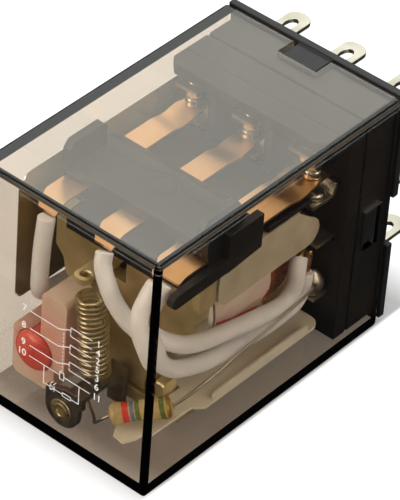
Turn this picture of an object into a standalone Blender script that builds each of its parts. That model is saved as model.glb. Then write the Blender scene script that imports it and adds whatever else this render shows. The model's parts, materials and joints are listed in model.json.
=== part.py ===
"""Plug-in control relay: three changeover contacts, clear cover, indicator light.

The relay lies on its long side.  +Z is up, the terminals point along +Y and the
printed end of the cover looks along -Y.  Sizes below are in millimetres; Y is
counted from the printed end and at() moves it so that the origin lies under the
middle of the whole length, on the surface that the cover rests on.
"""
import math

import bmesh
import bpy
from mathutils import Matrix, Vector

MM = 0.001

# cover and base
CASE_WIDTH = 21.5
CASE_HEIGHT = 27.6
COVER_LENGTH = 34.4
WALL = 1.0
EDGE_RADIUS = 0.3
RIM_START = 34.7
RIM_END = 35.5
RIM_UNDERCUT = 0.6
SNAP_GAP = 0.3
PLUG_START = 30.35
BLOCK_START = 28.3
BLOCK_END = 30.05
BLOCK_NOSE = 24.3
SHELF_END = 24.3
LATCH_HALF_WIDTH = 2.35
SIDE_WINDOW = (30.6, 33.0)

# terminals
BLADE_END = 41.9
BLADE_WIDTH = 2.6
BLADE_THICKNESS = 0.5
BLADE_SHOULDER = 35.6
STRIP_THICKNESS = 0.4
BLADE_HOLE = (1.2, 2.2)
POLE_PITCH = 6.9
POLES = (-POLE_PITCH, 0.0, POLE_PITCH)
ROW_NC = 24.15
ROW_NO = 20.0
ROW_COM = 13.6
ROW_COIL = 6.8
NO_DROP = 1.1

# contacts
CONTACT_Y = 25.7
CONTACT_SLIDE = 0.5
SPRING_LOW = 21.53
SPRING_THICKNESS = 0.25
SPRING_WIDTH = 2.7
FIT = 0.1

# magnet
COIL_Z = 12.3
COIL_RADIUS = 6.9
TAPE_RADIUS = 7.2
CORE_RADIUS = 2.6
POLE_FACE_Y = 10.85
HINGE_Y = 9.3
HINGE_Z = 3.5
ARMATURE_FRONT = 8.6
ARMATURE_BACK = 10.1
LUG_TOP = 20.95
YOKE_THICKNESS = 1.4
YOKE_LOW = 2.0
YOKE_BACK = 27.1

# light and wires
LIGHT_X = -5.05
LIGHT_Z = 7.25
LIGHT_RADIUS = 2.15
SLEEVE_RADIUS = 0.85
BARE_RADIUS = 0.35
LEAD_RADIUS = 0.16
ENAMEL_RADIUS = 0.15

MID_Y = BLADE_END / 2
OVER = 0.5


def at(point):
    """A point in millimetres, as metres in the part's frame."""
    x, y, z = point
    return Vector((x * MM, (y - MID_Y) * MM, z * MM))


def clear_scene():
    for old in list(bpy.data.objects):
        bpy.data.objects.remove(old, do_unlink=True)


def material(name, color, roughness, metallic=0.0, alpha=1.0):
    made = bpy.data.materials.new(name)
    made.use_nodes = True
    shader = made.node_tree.nodes["Principled BSDF"]
    shader.inputs["Base Color"].default_value = (*color, 1.0)
    shader.inputs["Roughness"].default_value = roughness
    shader.inputs["Metallic"].default_value = metallic
    shader.inputs["Alpha"].default_value = alpha
    return made


def link(name, data):
    made = bpy.data.objects.new(name, data)
    bpy.context.scene.collection.objects.link(made)
    return made


def mesh_object(name, bm, smooth=False):
    """An object from a bmesh whose points are in part millimetres."""
    bmesh.ops.recalc_face_normals(bm, faces=bm.faces)
    for vert in bm.verts:
        vert.co = at(vert.co)
    data = bpy.data.meshes.new(name)
    bm.to_mesh(data)
    bm.free()
    if smooth:
        data.shade_smooth()
        data.set_sharp_from_angle(angle=math.radians(35))
    return link(name, data)


def box(name, low, high):
    bm = bmesh.new()
    size = Vector(high) - Vector(low)
    centre = (Vector(high) + Vector(low)) / 2
    place = Matrix.Translation(centre) @ Matrix.Diagonal((*size, 1.0))
    bmesh.ops.create_cube(bm, size=1.0, matrix=place)
    return mesh_object(name, bm)


def spread(plane, a, b, along):
    """A point of a flat outline: a and b lie in the plane, along is across it."""
    if plane == "xy":
        return (a, b, along)
    if plane == "xz":
        return (a, along, b)
    return (along, a, b)


def prism(name, plane, outline, low, high):
    """A flat outline in the plane, extruded across it from low to high."""
    bm = bmesh.new()
    verts = [bm.verts.new(spread(plane, a, b, low)) for a, b in outline]
    face = bm.faces.new(verts)
    grown = bmesh.ops.extrude_face_region(bm, geom=[face])["geom"]
    shift = Vector(spread(plane, 0.0, 0.0, high - low))
    moved = [item for item in grown if isinstance(item, bmesh.types.BMVert)]
    bmesh.ops.translate(bm, verts=moved, vec=shift)
    return mesh_object(name, bm)


def arc(centre, radii, start, end, steps):
    """Points on an ellipse's arc, angles in degrees."""
    points = []
    for step in range(steps + 1):
        angle = math.radians(start + (end - start) * step / steps)
        points.append((centre[0] + radii[0] * math.cos(angle), centre[1] + radii[1] * math.sin(angle)))
    return points


def rounded(low, high, radius, steps=4):
    """A rectangle's outline with round corners."""
    (x0, y0), (x1, y1) = low, high
    corners = (((x1 - radius, y1 - radius), 0), ((x0 + radius, y1 - radius), 90),
               ((x0 + radius, y0 + radius), 180), ((x1 - radius, y0 + radius), 270))
    points = []
    for centre, start in corners:
        points += arc(centre, (radius, radius), start, start + 90, steps)
    return points


def turned(name, profile, base, direction, segments=32):
    """A solid of revolution: profile points are (radius, distance from base)."""
    bm = bmesh.new()
    verts = [bm.verts.new((radius, 0.0, height)) for radius, height in profile]
    edges = [bm.edges.new(pair) for pair in zip(verts, verts[1:])]
    if profile[0][0] > 0:
        edges.append(bm.edges.new((verts[-1], verts[0])))
    bmesh.ops.spin(bm, geom=verts + edges, cent=(0, 0, 0), axis=(0, 0, 1), angle=math.tau,
                   steps=segments, use_merge=True)
    bmesh.ops.remove_doubles(bm, verts=bm.verts, dist=1e-5)
    turn = Vector(direction).to_track_quat("Z", "Y").to_matrix().to_4x4()
    bmesh.ops.transform(bm, matrix=Matrix.Translation(Vector(base)) @ turn, verts=bm.verts)
    return mesh_object(name, bm, smooth=True)


def smooth_route(points, spacing):
    """Evenly spread points on a Catmull-Rom curve through a route's points."""
    route = [Vector(point) for point in points]
    route = [2 * route[0] - route[1]] + route + [2 * route[-1] - route[-2]]
    fine = []
    for before, start, end, after in zip(route, route[1:], route[2:], route[3:]):
        for step in range(20):
            t = step / 20
            fine.append(0.5 * (2 * start + (end - before) * t
                               + (2 * before - 5 * start + 4 * end - after) * t ** 2
                               + (3 * start - before - 3 * end + after) * t ** 3))
    fine.append(route[-2])
    count = max(2, round(sum((b - a).length for a, b in zip(fine, fine[1:])) / spacing))
    step_length = sum((b - a).length for a, b in zip(fine, fine[1:])) / count
    kept = [fine[0]]
    travelled = 0.0
    for a, b in zip(fine, fine[1:]):
        travelled += (b - a).length
        if travelled >= step_length * len(kept) and len(kept) < count:
            kept.append(b)
    return kept + [fine[-1]]


def tube(name, points, radius, resolution=2):
    """A round wire along the points, with closed ends."""
    data = bpy.data.curves.new(name, "CURVE")
    data.dimensions = "3D"
    data.bevel_depth = radius * MM
    data.bevel_resolution = resolution
    data.use_fill_caps = True
    spline = data.splines.new("POLY")
    spline.points.add(len(points) - 1)
    for target, point in zip(spline.points, points):
        target.co = (*at(point), 1.0)
    return link(name, data)


def wire(name, points, radius):
    return tube(name, smooth_route(points, radius * 2.2), radius)


def combine(target, tools, operation):
    """Applies Boolean tools to the target one by one, then removes them."""
    for tool in tools:
        cut = target.modifiers.new("combine", "BOOLEAN")
        cut.operation = operation
        cut.solver = "EXACT"
        cut.object = tool
        bpy.context.view_layer.update()
        ready = target.evaluated_get(bpy.context.evaluated_depsgraph_get())
        result = bpy.data.meshes.new_from_object(ready)
        target.modifiers.clear()
        old = target.data
        target.data = result
        bpy.data.meshes.remove(old)
        result.name = target.name
        bpy.data.objects.remove(tool, do_unlink=True)
    return target


def join(target, *tools):
    return combine(target, tools, "UNION")


def carve(target, *tools):
    return combine(target, tools, "DIFFERENCE")


def paint(target, finish):
    target.data.materials.clear()
    target.data.materials.append(finish)
    return target


# ---------------------------------------------------------------- case


def make_cover(clear):
    half = CASE_WIDTH / 2
    cover = box("cover", (-half, 0, 0), (half, COVER_LENGTH, CASE_HEIGHT))
    bevel = cover.modifiers.new("edges", "BEVEL")
    bevel.width = EDGE_RADIUS * MM
    bevel.segments = 2
    inside = half - WALL
    windows = []
    for low, high in ((-OVER, WALL + OVER), (CASE_HEIGHT - WALL - OVER, CASE_HEIGHT + OVER)):
        windows.append(box("notch", (-LATCH_HALF_WIDTH, 31.9, low), (LATCH_HALF_WIDTH, COVER_LENGTH + OVER, high)))
    for side in (-1, 1):
        x0, x1 = sorted((side * (inside - OVER), side * (half + OVER)))
        windows.append(box("window", (x0, SIDE_WINDOW[0], 11.5), (x1, SIDE_WINDOW[1], 16.1)))
    cavity = box("cavity", (-inside, WALL, WALL), (inside, COVER_LENGTH + OVER, CASE_HEIGHT - WALL))
    recess = prism("recess", "yz", rounded((5.3, 8.6), (29.9, 22.8), 1.1), -half - OVER, -half + 0.17)
    carve(cover, cavity, *windows, recess)
    return paint(cover, clear)


def make_side_label(foil):
    outer = -CASE_WIDTH / 2
    label = prism("side_label", "yz", rounded((5.4, 8.7), (29.8, 22.7), 1.0), outer, outer + 0.1)
    return paint(label, foil)


def blade_slots(y0, y1, spots):
    """Slots that the terminal blades pass through, one for each (x, z)."""
    half = BLADE_WIDTH / 2 + 0.15
    tall = BLADE_THICKNESS / 2 + 0.15
    return [box("slot", (x - half, y0, z - tall), (x + half, y1, z + tall)) for x, z in spots]


def terminal_spots():
    spots = [(x, z) for z in (ROW_NC, ROW_NO, ROW_COM) for x in POLES]
    return spots + [(POLES[0], ROW_COIL), (POLES[2], ROW_COIL)]


def make_base(black):
    half = CASE_WIDTH / 2
    inner = half - WALL - SNAP_GAP
    low, high = WALL + SNAP_GAP, CASE_HEIGHT - WALL - SNAP_GAP
    base = box("base", (-half, RIM_START, RIM_UNDERCUT), (half, RIM_END, CASE_HEIGHT))
    plug = box("plug", (-inner, PLUG_START, low), (inner, RIM_START + OVER, high))
    latch = LATCH_HALF_WIDTH - 0.35
    top = box("latch", (-latch, 32.2, high - OVER), (latch, RIM_START + 0.2, CASE_HEIGHT - 0.3))
    bottom = box("latch", (-latch, 32.2, 0.75), (latch, RIM_START + 0.2, low + OVER))
    sides = []
    for side in (-1, 1):
        x0, x1 = sorted((side * (inner - OVER), side * (half - 0.3)))
        sides.append(box("latch", (x0, SIDE_WINDOW[0] + 0.35, 11.85), (x1, SIDE_WINDOW[1] - 0.35, 15.75)))
    join(base, plug, top, bottom, *sides)
    notches = []
    for side in (-1, 1):
        x0, x1 = sorted((side * (half - 0.85), side * (half + OVER)))
        notches.append(box("notch", (x0, RIM_START - 0.1, 9.7), (x1, RIM_END + OVER, 15.6)))
    carve(base, *notches, *blade_slots(PLUG_START - OVER, RIM_END + OVER, terminal_spots()))
    return paint(base, black)


def make_contact_block(black):
    inner = CASE_WIDTH / 2 - WALL - SNAP_GAP
    low, high = WALL + SNAP_GAP, CASE_HEIGHT - WALL - SNAP_GAP
    block = box("contact_block", (-inner, BLOCK_START, low), (inner, BLOCK_END, high))
    corner = 0.9
    outline = [(-inner, 29), (-inner, BLOCK_NOSE + corner), (-inner + corner, BLOCK_NOSE),
               (inner - corner, BLOCK_NOSE), (inner, BLOCK_NOSE + corner), (inner, 29)]
    roof = prism("roof", "xy", outline, 25.1, high)
    walls = []
    for side in (-1, 1):
        x0, x1 = sorted((side * 3.0, side * 3.9))
        side_view = [(29, 17.6), (29, 25.6), (23.9, 25.6), (23.9, 19.4), (24.9, 19.4), (24.9, 17.6)]
        walls.append(prism("barrier", "yz", side_view, x0, x1))
    profile = [(17.9, 20.0), (SHELF_END, 20.0), (SHELF_END, 20.4), (20.5, 20.5), (17.9, 20.85)]
    shelf = prism("shelf", "yz", profile, -8.3, 8.3)
    join(block, roof, *walls, shelf)
    carve(block, *blade_slots(BLOCK_START - OVER, BLOCK_END + OVER, terminal_spots()))
    return paint(block, black)


# ---------------------------------------------------------------- terminals and fixed contacts


def make_terminal(name, x, z, start, tin, drop=0.0):
    """A flat strip with a thicker, round-ended solder blade; drop lowers its inner end."""
    half = STRIP_THICKNESS / 2
    blade = BLADE_THICKNESS / 2
    upper = [(BLADE_END, z + blade), (BLADE_SHOULDER, z + blade), (BLADE_SHOULDER, z + half)]
    lower = [(BLADE_SHOULDER, z - half), (BLADE_SHOULDER, z - blade), (BLADE_END, z - blade)]
    if drop:
        upper += [(27.95, z + half), (27.4, z - drop + half)]
        lower = [(27.7, z - drop - half), (28.25, z - half)] + lower
    upper.append((start, z - drop + half))
    lower.insert(0, (start, z - drop - half))
    strip = prism(name, "yz", upper + lower, x - BLADE_WIDTH / 2, x + BLADE_WIDTH / 2)
    tip = arc((x, BLADE_END - 1.0), (BLADE_WIDTH / 2, 1.0), 0, 180, 10)
    plan = tip + [(x - BLADE_WIDTH / 2, start - OVER), (x + BLADE_WIDTH / 2, start - OVER)]
    combine(strip, [prism("plan", "xy", plan, z - drop - 2, z + 2)], "INTERSECT")
    hole = arc((x, BLADE_END - 2.3), (BLADE_HOLE[0] / 2, BLADE_HOLE[1] / 2), 0, 330, 11)
    carve(strip, prism("eye", "xy", hole, z - 2, z + 2))
    return paint(strip, tin)


def rivet(name, spot, levels, radii, finish):
    """A contact rivet: two heads on a thin shank; levels run upwards."""
    low, shank_low, shank_high, high = levels
    lower, upper = radii
    edge = 0.12
    shank = 0.5
    profile = [(0, low), (lower - edge, low), (lower, low + edge), (lower, shank_low), (shank, shank_low),
               (shank, shank_high), (upper, shank_high), (upper, high - edge), (upper - edge, high), (0, high)]
    return paint(turned(name, profile, (*spot, 0), (0, 0, 1), 16), finish)


def shank_hole(spot, z):
    return prism("shank_hole", "xy", arc(spot, (0.6, 0.6), 0, 337.5, 15), z - 1, z + 1)


def make_terminals(tin, silver):
    half = STRIP_THICKNESS / 2
    for number, x in enumerate(POLES, start=1):
        strip = make_terminal(f"terminal_nc_{number}", x, ROW_NC, BLOCK_NOSE - 0.1, tin)
        spot = (x, CONTACT_Y)
        carve(strip, shank_hole(spot, ROW_NC))
        levels = (22.87, ROW_NC - half - FIT, ROW_NC + half + FIT, ROW_NC + half + 0.35)
        rivet(f"contact_nc_{number}", spot, levels, (1.05, 0.8), silver)
    for number, x in enumerate(POLES, start=1):
        strip = make_terminal(f"terminal_no_{number + 3}", x, ROW_NO, BLOCK_NOSE + 0.3, tin, NO_DROP)
        level = ROW_NO - NO_DROP
        spot = (x, CONTACT_Y + CONTACT_SLIDE)
        carve(strip, shank_hole(spot, level))
        levels = (level - half - 0.35, level - half - FIT, level + half + FIT, 19.8)
        rivet(f"contact_no_{number}", spot, levels, (0.75, 1.15), silver)
    for number, x in enumerate(POLES, start=7):
        start = 28.2 if x == 0 else 25.9
        make_terminal(f"terminal_com_{number}", x, ROW_COM, start, tin)
    for number, x in ((10, POLES[0]), (11, POLES[2])):
        make_terminal(f"terminal_coil_{number}", x, ROW_COIL, 26.2, tin)


# ---------------------------------------------------------------- armature and moving contacts


def make_moving_spring(number, x, copper):
    """A flat leaf spring, dished once in front of its contact."""
    half = SPRING_WIDTH / 2
    top = SPRING_LOW + SPRING_THICKNESS
    dish = ((19.8, 0.0), (22.0, -0.3), (24.3, 0.0))
    upper = [(4, top)] + [(y, top + rise) for y, rise in dish] + [(28, top)]
    lower = [(4, SPRING_LOW)] + [(y, SPRING_LOW + rise) for y, rise in dish] + [(28, SPRING_LOW)]
    leaf = prism(f"moving_spring_{number}", "yz", lower + upper[::-1], x - 2, x + 2)
    outline = [(x - 0.45, 4.95), (x + 1.6, 4.95), (x + half, 6.4), (x + half, 24.6), (x + 1.15, 25.2),
               (x + 1.15, 26.9), (x - 1.15, 26.9), (x - 1.15, 25.2), (x - half, 24.6), (x - half, 6.4)]
    combine(leaf, [prism("plan", "xy", outline, 20, 23)], "INTERSECT")
    carve(leaf, shank_hole((x, CONTACT_Y), SPRING_LOW))
    return paint(leaf, copper)


def make_carrier(black):
    """The moulding that is fixed on the armature and grips the three springs."""
    profile = [(9.0, 20.45), (16.8, 20.45), (16.8, 22.15), (15.3, 23.0), (9.0, 23.0)]
    carrier = prism("armature_carrier", "yz", profile, -8.5, 8.5)
    front = [(6.2, 19.9), (8.45, 19.9), (8.45, 20.45), (9.3, 20.45), (9.3, 21.3), (6.2, 21.3)]
    lip = prism("lip", "yz", front, -5.0, 8.45)
    rib = [(8.8, 22.5), (13.9, 22.5), (13.9, 25.2), (13.4, 25.7), (9.4, 25.7), (8.8, 25.0)]
    left = prism("rib", "yz", rib, -8.5, -7.6)
    right = prism("rib", "yz", rib, 7.7, 8.5)
    cheek = prism("cheek", "yz", [(10.9, 20.0), (15.7, 20.4), (15.7, 24.3), (10.9, 24.3)], 8.4, 9.3)
    finger = [(12, 20.2), (12, 21.6), (4.3, 21.5)]
    finger += arc((4.0, 20.75), (0.75, 0.75), 90, 270, 6)
    nose = prism("nose", "yz", finger, 8.55, 9.35)
    join(carrier, lip, left, right, cheek, nose)
    cuts = []
    for x in POLES:
        half = SPRING_WIDTH / 2 + FIT
        cuts.append(box("slot", (x - half, 5, SPRING_LOW - FIT), (x + half, 18, SPRING_LOW + SPRING_THICKNESS + FIT)))
    for side in (-1, 1):
        x0, x1 = sorted((side * 2.15, side * 4.85))
        cuts.append(box("pocket", (x0, ARMATURE_FRONT - FIT, 19), (x1, ARMATURE_BACK + FIT, LUG_TOP + FIT)))
    carve(carrier, *cuts)
    return paint(carrier, black)


def make_armature(steel):
    """The T-shaped steel plate, with the tab that the return spring hooks on."""
    right = [(3.5, 3.7), (3.5, 11.4), (6.4, 11.6), (6.9, 12.2), (7.2, 13.7), (8.2, 14.8), (8.2, 20.1),
             (4.7, 20.1), (4.7, LUG_TOP), (2.3, LUG_TOP), (2.3, 20.1)]
    left = [(-x, z) for x, z in reversed(right)]
    plate = prism("armature", "xz", right + left, ARMATURE_FRONT, ARMATURE_BACK)
    ear = prism("ear", "yz", rounded((7.8, 16.6), (ARMATURE_BACK, 19.75), 0.5), 8.0, 8.8)
    tab = prism("tab", "xy", rounded((-1.4, 3.0), (0.3, 9.2), 0.6), 17.65, 18.35)
    join(plate, ear, tab)
    lanced = box("lanced", (-1.55, 8, 14.9), (0.45, 11, 17.6))
    hook_hole = prism("hole", "xy", arc((-0.55, 3.9), (0.5, 0.5), 0, 330, 11), 17, 19)
    carve(plate, lanced, hook_hole)
    return paint(plate, steel)


def make_moving_parts(copper, silver, black, steel):
    """Everything that turns with the armature, parented to its hinge line."""
    pieces = [make_armature(steel), make_carrier(black)]
    for number, x in enumerate(POLES, start=1):
        pieces.append(make_moving_spring(number, x, copper))
        top = SPRING_LOW + SPRING_THICKNESS
        levels = (20.75, SPRING_LOW - FIT, top + FIT, 22.75)
        pieces.append(rivet(f"moving_contact_{number}", (x, CONTACT_Y), levels, (0.95, 0.95), silver))
    hinge = link("armature_hinge_line", None)
    hinge.location = at((0, HINGE_Y, HINGE_Z))
    for piece in pieces:
        piece.parent = hinge
        piece.data.transform(Matrix.Translation(-hinge.location))


# ---------------------------------------------------------------- magnet


def make_yoke(steel):
    top = YOKE_LOW + YOKE_THICKNESS
    yoke = box("yoke", (-7, 8.3, YOKE_LOW), (7, YOKE_BACK, top))
    leg = box("leg", (-5, YOKE_BACK - YOKE_THICKNESS, YOKE_LOW + 0.1), (5, YOKE_BACK, 16.9))
    ears = []
    for side in (-1, 1):
        x0, x1 = sorted((side * 3.85, side * 4.9))
        ears.append(prism("ear", "yz", rounded((8.4, top - 0.9), (10.3, top + 1.9), 0.5), x0, x1))
    join(yoke, leg, *ears)
    hole = prism("hole", "xz", arc((0, COIL_Z), (2.15, 2.15), 0, 345, 23), 24, 29)
    carve(yoke, hole)
    return paint(yoke, steel)


def make_core(iron, copper):
    """The core with its pole shoe, and the shading ring set into the pole face."""
    profile = [(0, 0), (3.4, 0), (3.6, 0.2), (3.6, 0.6), (CORE_RADIUS, 0.6), (CORE_RADIUS, 14.75),
               (2.0, 14.75), (2.0, 16.4), (0, 16.4)]
    core = turned("core", profile, (0, POLE_FACE_Y, COIL_Z), (0, 1, 0), 24)
    ring_z = COIL_Z + 1.0
    groove = [(1.1, -OVER), (1.9, -OVER), (1.9, 0.45), (1.1, 0.45)]
    carve(core, turned("groove", groove, (0, POLE_FACE_Y, ring_z), (0, 1, 0), 20))
    paint(core, iron)
    band = [(1.2, 0.02), (1.8, 0.02), (1.8, 0.35), (1.2, 0.35)]
    ring = turned("shading_ring", band, (0, POLE_FACE_Y, ring_z), (0, 1, 0), 20)
    return paint(ring, copper)


def make_coil(nylon, enamel, tape_cloth):
    bore = CORE_RADIUS + FIT
    profile = [(bore, 11.55), (7.1, 11.55), (7.1, 12.25), (3.3, 12.25), (3.3, 23.7), (COIL_RADIUS, 23.7),
               (COIL_RADIUS, 24.4), (4.4, 24.4), (4.4, 25.55), (bore, 25.55)]
    paint(turned("bobbin", profile, (0, 0, COIL_Z), (0, 1, 0), 32), nylon)
    winding = [(3.4, 12.35), (6.75, 12.35), (COIL_RADIUS, 12.5), (COIL_RADIUS, 23.4), (6.75, 23.6), (3.4, 23.6)]
    paint(turned("coil_winding", winding, (0, 0, COIL_Z), (0, 1, 0), 32), enamel)
    wrap = [(7.0, 12.45), (TAPE_RADIUS, 12.45), (TAPE_RADIUS, 20.4), (7.0, 20.4)]
    return paint(turned("coil_tape", wrap, (0, 0, COIL_Z), (0, 1, 0), 32), tape_cloth)


def make_coil_shield(nylon):
    """The white sheet over the coil, bent down on both sides."""
    top = 19.9
    thick = 0.28
    side = [(11.2, top), (22.3, top), (24.3, 18.3)]
    side += arc((24.3, 16.4), (1.5, 1.6), 55, -90, 6)
    side += [(12.2, 14.8), (11.2, 15.8)]
    shield = prism("coil_shield", "yz", side, -8.3, 8.3)
    hollow = box("hollow", (-8.3 + thick, 10, 10), (8.3 - thick, 28, top - thick))
    trim = box("trim", (-8.3 + thick, 23.9, 10), (8.3 - thick, 28, 25))
    return paint(carve(shield, hollow, trim), nylon)


def make_yoke_insulator(nylon):
    """The white sheet on the yoke, with a tab at the front and low walls along both sides."""
    outline = [(5.1, 2.8), (5.6, 1.9), (6.9, 1.7), (7.5, 2.9), (7.7, 9.2), (8.6, 10.2), (8.6, 25.6)]
    outline += arc((7.4, 26.0), (1.2, 1.2), 0, 90, 4)
    outline += [(5.4, 27.2), (5.4, 25.3), (-5.4, 25.3), (-5.4, 27.2), (-8.6, 27.2), (-8.6, 10.6), (5.1, 10.6)]
    sheet = prism("yoke_insulator", "xy", outline, 3.55, 3.85)
    walls = []
    for side in (-1, 1):
        x0, x1 = sorted((side * 8.3, side * 8.6))
        walls.append(prism("wall", "yz", rounded((11.4, 3.6), (25.2, 4.7), 0.35), x0, x1))
    return paint(join(sheet, *walls), nylon)


def make_return_spring(spring_wire):
    """A close-wound extension spring with a hook at each end."""
    top, bottom = Vector((0.45, 3.9, 16.3)), Vector((1.15, 4.1, 7.5))
    turns, per_turn, radius = 13, 10, 1.35
    hook = ((-0.55, 3.9, 17.3), (-0.55, 3.9, 18.5), (-0.3, 3.9, 18.85), (0.3, 3.9, 18.85), (0.75, 3.9, 18.4),
            (0.85, 3.9, 17.5), (1.3, 3.9, 16.8))
    points = [Vector(point) for point in hook]
    axis = (bottom - top).normalized()
    side = axis.cross(Vector((0, 1, 0))).normalized()
    other = axis.cross(side)
    for step in range(turns * per_turn + 1):
        angle = math.tau * step / per_turn
        along = top.lerp(bottom, step / (turns * per_turn))
        points.append(along + radius * (math.cos(angle) * side + math.sin(angle) * other))
    points += [bottom + Vector((0.4, 0.0, -0.75)), bottom + Vector((0.1, 0, -1.7)), bottom + Vector((0.0, 0, -2.5))]
    return paint(tube("return_spring", points, 0.21, 1), spring_wire)


def make_spring_anchor(steel, brass):
    """The fixed bracket that holds the spring's lower hook, and its eyelet."""
    strap = [(1.45, 4.5), (2.05, 4.5), (2.05, 5.4), (7.3, 5.4), (7.3, 1.6), (7.9, 1.6), (7.9, 6.0), (1.45, 6.0)]
    anchor = prism("spring_anchor", "yz", strap, 0.1, 2.0)
    lug = [(1.6, 3.4), (1.6, 6.0), (0.1, 6.0), (-2.5, 5.2)]
    lug += arc((-0.45, 3.4), (2.05, 2.05), 180, 360, 12)[:-1]
    join(anchor, prism("lug", "xz", lug, 1.45, 2.05))
    hook = prism("hook_hole", "xy", arc((1.15, 4.1), (0.5, 0.5), 0, 330, 11), 5, 7)
    eye = prism("eye", "xz", arc((-0.45, 3.3), (0.85, 0.85), 0, 337.5, 15), 1, 3)
    carve(anchor, hook, eye)
    paint(anchor, steel)
    profile = [(0.45, 0), (1.2, 0), (1.25, 0.2), (0.72, 0.2), (0.72, 1.0), (1.1, 1.0), (1.1, 1.2), (0.45, 1.2)]
    eyelet = turned("anchor_eyelet", profile, (-0.45, 1.15, 3.3), (0, 1, 0), 20)
    return paint(eyelet, brass)


# ---------------------------------------------------------------- light, resistor and wires


def make_light(red, nylon, tin):
    x = LIGHT_X
    dome = [(LIGHT_RADIUS * math.sin(angle), 0.9 - 0.9 * math.cos(angle))
            for angle in (math.radians(15 * step) for step in range(1, 7))]
    profile = [(0, 0)] + dome + [(LIGHT_RADIUS, 3.8), (0, 3.8)]
    paint(turned("indicator_light", profile, (x, 1.6, LIGHT_Z), (0, 1, 0), 24), red)
    holder = prism("light_holder", "xz", rounded((x - 2.7, 3.2), (x + 2.45, 9.4), 0.8), 2.6, 6.4)
    wing = prism("wing", "xz", rounded((-4.4, 6.2), (-1.35, 14.7), 0.6), 2.6, 6.4)
    join(holder, wing)
    bore = prism("bore", "xz", arc((x, LIGHT_Z), (LIGHT_RADIUS + FIT, LIGHT_RADIUS + FIT), 0, 345, 23), 2, 5.5)
    back = box("back", (x - 1.3, 5.2, LIGHT_Z - 1.1), (x + 1.3, 8, 12))
    carve(holder, bore, back)
    paint(holder, nylon)
    first = [(x + 0.6, 5.6, LIGHT_Z), (x + 0.6, 6.6, LIGHT_Z), (-4.1, 7.3, 6.7), (-2.6, 7.3, 4.9), (-1.6, 6.0, 2.4),
             (1.0, 4.4, 1.7), (2.7, 2.6, 3.0), (3.8, 2.0, 4.4)]
    second = [(x - 0.6, 5.6, LIGHT_Z), (x - 0.6, 6.6, LIGHT_Z), (-6.2, 7.4, 6.9), (-7.9, 7.9, 6.2), (-8.8, 10.5, 5.6),
              (-8.8, 18, 5.2), (-8.4, 24.0, 5.7), (-7.6, 25.6, 6.5)]
    paint(wire("light_lead_1", first, LEAD_RADIUS), tin)
    return paint(wire("light_lead_2", second, LEAD_RADIUS), tin)


def make_resistor(shell, tin):
    start, end = Vector((4.55, 2.4, 5.25)), Vector((8.2, 5.75, 6.5))
    length = (end - start).length
    profile = [(0, 0), (0.7, 0), (1.08, 0.25), (1.15, 0.7), (1.12, 1.3), (0.98, 1.6)]
    profile += [(radius, length - along) for radius, along in reversed(profile)]
    paint(turned("resistor", profile, start, end - start, 20), shell)
    rear = [end + (end - start) * 0.03, (8.75, 6.6, 7.2), (9.3, 8.3, 8.1), (9.52, 11.0, 8.65), (9.52, 15.0, 9.2),
            (9.52, 19.5, 9.75), (9.45, 23.0, 10.1), (9.0, 25.0, 9.9), (8.3, 25.75, 9.0)]
    return paint(wire("resistor_lead", rear, LEAD_RADIUS), tin)


def make_solder(name, x, solder):
    """A tall drop of solder that stands on the inner end of a coil terminal."""
    profile = [(0, 0), (0.8, 0), (1.15, 0.5), (1.1, 1.1), (0.8, 1.9), (0.4, 2.5), (0, 2.65)]
    level = ROW_COIL + STRIP_THICKNESS / 2 + FIT
    return paint(turned(name, profile, (x, 27.0, level), (0, 0, 1), 16), solder)


# Each lead leaves the front of its spring, bends down and runs back to a common terminal.
LEAD_LEFT = ((-6.1, 4.7, 21.2), (-6.0, 4.2, 18.6), (-5.9, 3.9, 16.0), (-6.0, 4.0, 13.6), (-6.9, 5.4, 11.6),
             (-8.3, 7.8, 9.6), (-8.6, 10.5, 8.8), (-8.6, 15.5, 8.7), (-8.6, 20.0, 9.6), (-8.5, 23.0, 11.6))
LEAD_MIDDLE = ((1.0, 4.7, 21.2), (1.4, 4.1, 20.2), (2.6, 3.6, 18.7), (3.5, 3.6, 17.4), (4.9, 4.0, 15.7),
               (6.6, 5.0, 14.3), (8.1, 6.5, 13.5), (8.45, 8.6, 12.7), (8.45, 10.8, 12.0), (8.45, 15.9, 10.7),
               (8.45, 20.3, 9.8), (8.45, 21.9, 10.3), (8.5, 22.6, 11.6), (8.5, 22.7, 12.9))
LEAD_RIGHT = ((7.2, 4.7, 21.1), (7.1, 3.8, 20.3), (7.2, 2.7, 18.9), (7.7, 2.2, 17.4), (8.5, 2.3, 15.6),
              (8.65, 3.0, 13.8), (8.65, 4.6, 12.1), (8.65, 6.6, 11.0), (8.6, 9.6, 9.85), (8.3, 13.0, 8.9),
              (8.0, 16.0, 8.2), (7.8, 18.6, 7.7), (7.7, 20.6, 7.5), (7.7, 22.3, 7.6))
TAIL_LEFT = ((-8.45, 23.4, 11.95), (-8.1, 24.6, 12.9), (-7.6, 25.5, 13.45))
TAIL_MIDDLE = ((8.45, 22.75, 13.4), (8.2, 23.3, 13.9), (7.4, 24.6, 14.2), (6.3, 25.4, 14.5), (5.85, 26.5, 14.6),
               (5.5, 27.5, 14.6), (4.4, 27.72, 14.5), (2.4, 27.72, 14.1), (0.2, 27.72, 13.5))
TAIL_RIGHT = ((7.7, 22.75, 7.65), (7.8, 23.6, 8.1), (7.9, 24.4, 9.4), (7.95, 24.8, 11.2), (7.8, 25.3, 12.6),
              (7.6, 25.5, 13.2))


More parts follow.
